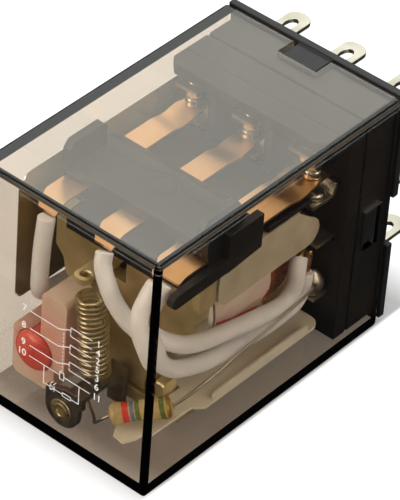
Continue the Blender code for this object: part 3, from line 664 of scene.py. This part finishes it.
def make_spring():
    """The return spring: a hook on the armature, the turns, and a tail down to the anchor."""
    top, bottom = Vector((0.45, 3.9, 16.3)), Vector((1.15, 4.1, 7.5))
    turns, per_turn, radius, spacing = 16, 20, 1.35, 0.12
    hook = [(-0.55, 3.9, 17.3), (-0.55, 3.9, 18.5), (-0.3, 3.9, 18.85), (0.3, 3.9, 18.85),
            (0.75, 3.9, 18.4), (0.85, 3.9, 17.5), (1.3, 3.9, 16.8)]
    tail = [bottom + Vector(drop) for drop in ((0.4, 0, -0.75), (0.1, 0, -1.7), (0, 0, -2.5))]
    axis = (bottom - top).normalized()
    side = axis.cross(Vector((0, 1, 0))).normalized()
    other = axis.cross(side)
    steps = turns * per_turn
    coil = []
    for step in range(steps + 1):
        angle = math.tau * step / per_turn
        middle = top.lerp(bottom, step / steps)
        coil.append(middle + radius * (math.cos(angle) * side + math.sin(angle) * other))
    into_coil = smooth_route(hook + coil[:1], spacing)[:-1]
    out_of_coil = smooth_route(coil[-1:] + tail, spacing)[1:]
    bm = bmesh.new()
    sweep(bm, into_coil + coil + out_of_coil, SPRING_WIRE_RADIUS, 10)
    piece = link_piece("coil_spring", bm, ["spring_steel"], replaced=["return_spring"])
    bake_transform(piece)


# ---------------------------------------------------------------- leaf springs


def leaf_edges(plan, y):
    """The left and right edge of a leaf at y, straight between the plan's rows."""
    before = max(row for row in plan if row[0] <= y)
    after = min(row for row in plan if row[0] >= y)
    share = (y - before[0]) / (after[0] - before[0]) if after[0] > before[0] else 0.0
    return [low + (high - low) * share for low, high in zip(before[1:], after[1:])]


def make_leaves():
    """The three flat springs, each dished softly in front of its contact."""
    narrow = 1.15
    plan = ((4.95, -0.45, 1.6), (5.15, -0.65, 1.58), (5.5, -0.9, 1.5), (5.9, -narrow, 1.42),
            (6.4, -LEAF_HALF, LEAF_HALF), (24.5, -LEAF_HALF, LEAF_HALF), (24.9, -1.28, 1.28),
            (25.2, -narrow, narrow), (26.9, -narrow, narrow))
    dish_start, dish_length, dish_depth = 20.6, 4.0, 0.28
    stations = sorted({row[0] for row in plan} | {6.4 + 0.3 * step for step in range(60)})
    for number, pole in enumerate(POLES, start=1):
        bm = bmesh.new()
        loops = []
        for y in stations:
            left, right = leaf_edges(plan, y)
            along = (y - dish_start) / dish_length
            sag = dish_depth * math.sin(math.pi * along) ** 2 if 0 < along < 1 else 0.0
            low, high = LEAF_Z - sag, LEAF_Z - sag + LEAF_THICK
            corners = ((left, low), (right, low), (right, high), (left, high))
            loops.append([bm.verts.new((pole + x, y, z)) for x, z in corners])
        skin(bm, loops)
        link_piece(f"leaf_{number}", bm, ["copper"], "armature_group",
                   [f"moving_spring_{number}"])


# ---------------------------------------------------------------- small turned pieces


def make_light():
    """The indicator's domed lens."""
    edge = 0.1
    profile = [(0, 0)]
    for degrees in range(6, 91, 6):
        angle = math.radians(degrees)
        profile.append((LIGHT_RADIUS * math.sin(angle), LIGHT_CROWN - LIGHT_CROWN * math.cos(angle)))
    profile += [(LIGHT_RADIUS, LIGHT_DEPTH - edge), (LIGHT_RADIUS - edge, LIGHT_DEPTH), (0, LIGHT_DEPTH)]
    bm = bmesh.new()
    turned(bm, plain(profile), LIGHT, (0, 1, 0), 48)
    link_piece("light_lens", bm, ["red_lens"], "housing", ["indicator_light"])


def make_resistor():
    """A dumbbell-shaped body with its colour rings."""
    start, end = (Vector(point) for point in RESISTOR_ENDS)
    length = (end - start).length
    waist, swelling, swell_middle, swell_reach = 0.98, 0.16, 0.75, 0.85
    rounding, end_radius = 0.45, 0.3
    finishes = ["resistor_tan", "band_red", "band_blue", "band_green", "band_gold", "band_brown"]
    rings = ((1.3, 1.9, 1), (2.02, 2.42, 2), (2.5, 2.95, 3), (3.95, 4.45, 3), (4.6, 5.0, 4),
             (5.2, length, 5))
    stops = {0.4, 0.7, 1.0, 1.6, 3.2, 4.0, 4.8, length - 0.4}
    for inset in (0.0, 0.06, 0.18):
        stops |= {inset, length - inset}
    for low, high, _ in rings:
        stops |= {low, high}
    profile = [(0, 0, 0)]
    for along in sorted(stops):
        inward = min(along, length - along)
        rise = min(1.0, inward / rounding)
        bulb = swelling * max(0.0, 1.0 - abs(inward - swell_middle) / swell_reach)
        radius = (0.98 + bulb) * math.sqrt(max(0.0, 1 - (1 - rise) ** 2)) * waist + 0.1 * (1 - rise)
        finish = next((index for low, high, index in rings if low <= along < high), 0)
        profile.append((max(radius, end_radius), along, finish))
    profile.append((0, length, 5))
    bm = bmesh.new()
    turned(bm, profile, start, end - start, 36)
    link_piece("resistor_body", bm, finishes, "housing", ["resistor"])


def rivet(name, node, spot, levels, radii, body):
    """A contact rivet upright at (x, y); levels are its bottom, the shank's two ends and its top."""
    low, shank_low, shank_high, high = levels
    lower, upper = radii
    shank, edge, crown = 0.5, 0.14, 0.02
    profile = [(0, low), (lower - edge * 2.5, low + crown), (lower - edge, low + edge * 0.5),
               (lower, low + edge * 1.5), (lower, shank_low), (shank, shank_low), (shank, shank_high),
               (upper, shank_high), (upper, high - edge * 1.5), (upper - edge, high - edge * 0.5),
               (upper - edge * 2.5, high - crown), (0, high)]
    bm = bmesh.new()
    turned(bm, plain(profile), (*spot, 0), (0, 0, 1), 36)
    link_piece(name, bm, ["silver"], body, [node])


def make_rivets():
    """The upper fixed, the lower fixed and the moving contact of each pole."""
    lower_y = CONTACT_Y + CONTACT_SLIDE
    for number, x in enumerate(POLES, start=1):
        rivet(f"rivet_nc_{number}", f"contact_nc_{number}", (x, CONTACT_Y),
              (22.87, 23.85, 24.45, 24.7), (1.05, 0.8), "housing")
        rivet(f"rivet_no_{number}", f"contact_no_{number}", (x, lower_y),
              (18.35, 18.6, 19.2, 19.8), (0.75, 1.15), "housing")
        rivet(f"rivet_moving_{number}", f"moving_contact_{number}", (x, CONTACT_Y),
              (20.75, 21.43, 21.88, 22.75), (0.95, 0.95), "armature_group")


def make_eyelet():
    """The hollow rivet that holds the spring's anchor; its profile closes on itself."""
    profile = [(0.45, 0.12), (0.52, 0.03), (0.66, 0.0), (0.8, 0.03), (0.86, 0.13), (1.16, 0.13),
               (1.23, 0.16), (1.25, 0.22), (0.72, 0.22), (0.72, 1.0), (1.1, 1.0), (1.1, 1.2), (0.45, 1.2),
               (0.45, 0.12)]
    bm = bmesh.new()
    turned(bm, plain(profile), (-0.45, 1.15, 3.3), (0, 1, 0), 40)
    bmesh.ops.remove_doubles(bm, verts=bm.verts, dist=1e-4)
    link_piece("eyelet_ring", bm, ["spring_steel"], "housing", ["anchor_eyelet"])


def make_solder():
    """Uneven tall drops of solder on the two coil terminals."""
    radius, half_height = 1.08, 1.65
    y, middle, foot, beside = 27.0, 8.15, 7.1, 0.4
    for number, x in ((10, POLES[0] - beside), (11, POLES[2] + beside)):
        bm = bmesh.new()
        bmesh.ops.create_icosphere(bm, subdivisions=4, radius=1.0)
        for vert in bm.verts:
            side, along, up = vert.co
            dents = 0.06 * math.sin(3.1 * side + 2.0 * number) * math.cos(2.7 * along)
            folds = 0.05 * math.sin(5 * up)
            taper = 1.0 - 0.3 * max(0.0, up)
            reach = radius * (1 + dents + folds) * taper
            vert.co = Vector((x + side * reach, y + along * reach, max(foot, middle + half_height * up)))
        link_piece(f"solder_drop_{number}", bm, ["tinned"], "housing",
                   [f"solder_joint_{number}"])


# ---------------------------------------------------------------- print

PRINT_WIDTH = 0.095
PRINT_Y = 0.04
PRINT_HALF = 0.01
DIGIT_SIZE = 1.08


def stroke(bm, start, end, width=PRINT_WIDTH):
    """A thin flat bar standing in the plane of the printed face, between two (x, z) points."""
    a, b = Vector((start[0], 0, start[1])), Vector((end[0], 0, end[1]))
    along = (b - a).normalized()
    across = along.cross(Vector((0, 1, 0))) * width / 2
    a, b = a - along * width / 2, b + along * width / 2
    loops = []
    for y in (PRINT_Y - PRINT_HALF, PRINT_Y + PRINT_HALF):
        corners = (a + across, b + across, b - across, a - across)
        loops.append([bm.verts.new((corner.x, y, corner.z)) for corner in corners])
    skin(bm, loops)


def polyline(bm, *points):
    for start, end in zip(points, points[1:]):
        stroke(bm, start, end)


def number_mark(bm, number, x, z):
    """A number standing in the plane of the printed face."""
    letters = bpy.data.curves.new("digits", "FONT")
    letters.body = str(number)
    letters.size = DIGIT_SIZE
    letters.extrude = PRINT_HALF
    letters.offset = DIGIT_SIZE * 0.012
    letters.align_x = "CENTER"
    letters.align_y = "CENTER"
    helper = bpy.data.objects.new("digits", letters)
    scene.collection.objects.link(helper)
    bpy.context.view_layer.update()
    ready = helper.evaluated_get(bpy.context.evaluated_depsgraph_get())
    mesh = bpy.data.meshes.new_from_object(ready)
    mesh.transform(Matrix.Translation((x, PRINT_Y, z)) @ Matrix.Rotation(math.pi / 2, 4, "X"))
    bm.from_mesh(mesh)
    bpy.data.meshes.remove(mesh)
    bpy.data.objects.remove(helper)


def print_poles(bm, left, right, top, pitch):
    """The changeover contact of each pole, with its three terminal numbers."""
    blade_x, tip_x, post_x = -0.45, 0.9, 0.98
    number_x = 4.35
    for pole in range(3):
        z = top - pitch * pole
        polyline(bm, (left, z), (blade_x, z), (tip_x, z + 0.66))
        polyline(bm, (post_x, z + 0.45), (post_x, z + 1.0), (right, z + 1.0))
        polyline(bm, (post_x, z + 0.22), (post_x, z - 0.02), (right, z - 0.02))
        number_mark(bm, 7 + pole, -4.7, z)
        number_mark(bm, 1 + pole, number_x, z + 1.02)
        number_mark(bm, 4 + pole, number_x, z - 0.02)


def print_coil(bm, left, right, z):
    """The coil's box with its two terminal numbers, and the dashed line up to the contacts."""
    box_left, box_right, half = -0.1, 0.4, 0.45
    dash, dash_pitch = 0.2, 0.44
    fine = PRINT_WIDTH * 0.8
    number_mark(bm, 10, -4.85, z)
    number_mark(bm, 11, 4.45, z)
    polyline(bm, (left, z), (box_left, z))
    polyline(bm, (box_right, z), (right, z))
    polyline(bm, (box_left, z - half), (box_left, z + half), (box_right, z + half), (box_right, z - half),
             (box_left, z - half))
    for step in range(11):
        foot = z + 0.6 + step * dash_pitch
        stroke(bm, (0.15, foot), (0.15, foot + dash), fine)


def print_light(bm, coil_z, z):
    """The light and its resistor, in a branch below the coil."""
    branch_left, branch_right = -2.05, 2.3
    light_left, light_right, light_half = -1.2, -0.7, 0.3
    box_left, box_right, box_half = 0.3, 1.35, 0.2
    fine = PRINT_WIDTH * 0.8
    polyline(bm, (branch_left, coil_z), (branch_left, z), (light_left, z))
    polyline(bm, (light_left, z - light_half), (light_left, z + light_half), (light_right, z),
             (light_left, z - light_half))
    stroke(bm, (light_right, z - light_half), (light_right, z + light_half))
    for shift in (0.0, 0.35):
        stroke(bm, (-1.15 + shift, z + 0.45), (-0.85 + shift, z + 0.85), fine)
    polyline(bm, (light_right, z), (box_left, z))
    polyline(bm, (box_left, z - box_half), (box_left, z + box_half), (box_right, z + box_half),
             (box_right, z - box_half), (box_left, z - box_half))
    polyline(bm, (box_right, z), (branch_right, z), (branch_right, coil_z))


def make_print():
    """A generic circuit diagram with terminal numbers, printed on the end of the cover."""
    left, right = -3.9, 3.55
    top, pitch = 13.8, 2.06
    coil_z = top - pitch * 3 + 0.8
    bm = bmesh.new()
    print_poles(bm, left, right, top, pitch)
    print_coil(bm, left, right, coil_z)
    print_light(bm, coil_z, 6.3)
    link_piece("front_print", bm, ["print_white"], "housing")


# ---------------------------------------------------------------- mould lines and pen mark


def make_carrier_lines():
    """The raised edge and the round mark on top of the armature's carrier."""
    z = 23.0
    crest = ((-6.9, 13.5), (-4.5, 13.6), (-2.4, 13.7), (-1.2, 14.3), (-0.2, 14.75), (0.9, 14.55),
             (1.6, 13.9), (2.6, 13.5), (4.5, 13.5), (7.2, 13.5))
    centre = Vector((0.2, 13.0, z))
    ring_radius, ring_steps = 1.25, 32
    bm = bmesh.new()
    sweep(bm, smooth_route([(x, y, z) for x, y in crest], 0.2), 0.07, 8)
    ring = []
    for step in range(ring_steps):
        angle = math.tau * step / ring_steps
        ring.append(centre + ring_radius * Vector((math.cos(angle), math.sin(angle), 0)))
    sweep(bm, ring + ring[:1], 0.05, 6)
    link_piece("carrier_mould_lines", bm, ["seam_black"], "armature_group")


def make_block_lines():
    """The lines on top of the contact block: one between each two poles, and one across."""
    z = 26.3
    bm = bmesh.new()
    for x in (-3.45, 3.45):
        sweep(bm, [Vector((x, y, z)) for y in (24.6, 26.0, 28.1)], 0.04, 8)
    sweep(bm, [Vector((x, 26.9, z)) for x in (-9.2, 0.0, 9.2)], 0.05, 8)
    link_piece("block_mould_lines", bm, ["seam_black"], "housing")


def make_pen_mark():
    """A red pen line on the coil's tape, as (y, z) points that are laid onto its round side."""
    marks = (((12.6, 11.7), (15.4, 10.65), (17.5, 10.0), (19.4, 9.4)),
             ((19.8, 9.9), (20.1, 10.6), (20.3, 11.2)))
    bm = bmesh.new()
    for mark in marks:
        points = [(math.sqrt(TAPE_RADIUS ** 2 - (z - COIL_Z) ** 2), y, z) for y, z in mark]
        sweep(bm, smooth_route(points, 0.2), 0.11, 8)
    link_piece("tape_pen_mark", bm, ["pen_red"], "housing")


make_camera()
make_materials()
make_stage()
paint_nodes()
make_leads()
make_bare_wires()
make_spring()
make_leaves()
make_light()
make_resistor()
make_rivets()
make_eyelet()
make_solder()
make_print()
make_carrier_lines()
make_block_lines()
make_pen_mark()
